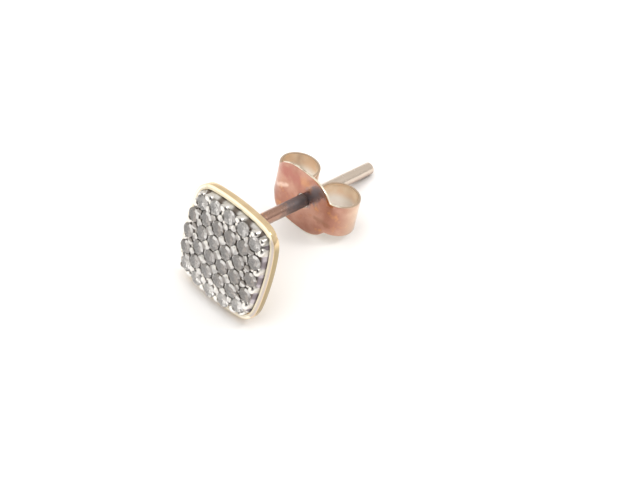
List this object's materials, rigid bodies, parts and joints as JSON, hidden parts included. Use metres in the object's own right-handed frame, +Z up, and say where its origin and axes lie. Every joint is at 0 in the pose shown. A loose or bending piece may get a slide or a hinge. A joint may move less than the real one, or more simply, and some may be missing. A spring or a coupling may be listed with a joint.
{
  "type": "diamond earring",
  "caption": "Square pave stud earring: a gold tray with a soldered post, a stone-set white plate and a butterfly clutch that slides on the post.",
  "frame": {"origin": "bottom centre of the object's box, on the surface that the earring lies on", "axes": "+Z up, +Y along the post from the head towards its tip, +X across the head"},
  "size_m": [0.006, 0.0122, 0.0057],
  "materials": {
    "yellow_gold": "polished yellow gold with brown tarnish on the post",
    "white_rhodium": "rhodium plated, bright with darker recesses",
    "diamond": "cut and polished, slightly grey",
    "pink_gold": "polished pink-brown plate with tan ears and orange smudges"
  },
  "bodies": {
    "stud": {"gold_tray_with_post": "yellow_gold", "pave_plate": "white_rhodium", "diamond_01": "diamond", "diamond_02": "diamond", "diamond_03": "diamond", "diamond_04": "diamond", "diamond_05": "diamond", "diamond_06": "diamond", "diamond_07": "diamond", "diamond_08": "diamond", "diamond_09": "diamond", "diamond_10": "diamond", "diamond_11": "diamond", "diamond_12": "diamond", "diamond_13": "diamond", "diamond_14": "diamond", "diamond_15": "diamond", "diamond_16": "diamond", "diamond_17": "diamond", "diamond_18": "diamond", "diamond_19": "diamond", "diamond_20": "diamond", "diamond_21": "diamond", "diamond_22": "diamond", "diamond_23": "diamond", "diamond_24": "diamond", "diamond_25": "diamond", "diamond_26": "diamond", "diamond_27": "diamond", "diamond_28": "diamond", "diamond_29": "diamond", "diamond_30": "diamond", "diamond_31": "diamond", "diamond_32": "diamond"},
    "clutch": {"butterfly_clutch": "pink_gold"}
  },
  "joints": [
    {"name": "clutch_slide", "type": "slide", "parent": "stud", "child": "clutch", "axis": [0, 0.9634, -0.2682], "range_m": [-0.0051, 0.0048]}
  ]
}
